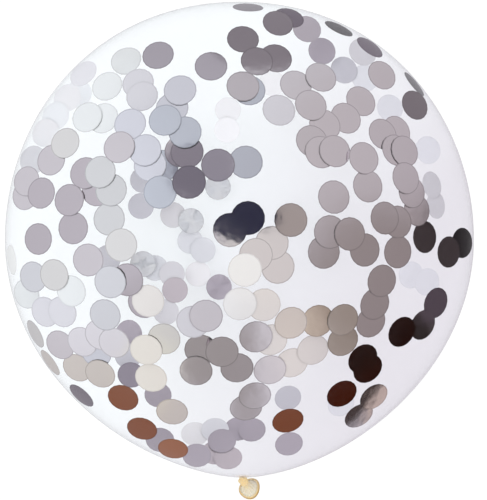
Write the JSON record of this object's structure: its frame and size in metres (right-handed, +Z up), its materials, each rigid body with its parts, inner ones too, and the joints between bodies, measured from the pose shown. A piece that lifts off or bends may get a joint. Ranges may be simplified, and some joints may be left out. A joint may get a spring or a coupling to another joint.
{
  "type": "giant confetti balloon",
  "caption": "Large clear latex balloon with round foil confetti sealed inside, lying on its side with its knotted neck and rolled lip.",
  "frame": {"origin": "centre of the flat spot that the balloon lies on, straight under its widest section", "axes": "+Z up from the surface it lies on; +Y along the balloon's own axis towards the crown, so the knotted neck points to -Y; +X to the side that the tail leans to"},
  "size_m": [0.9, 0.9629, 0.895],
  "materials": {
    "clear_latex": "clear natural latex, soft gloss",
    "silver_foil": "bright silver film, slightly creased"
  },
  "bodies": {
    "root": {"latex_balloon": "clear_latex"}
  },
  "joints": []
}
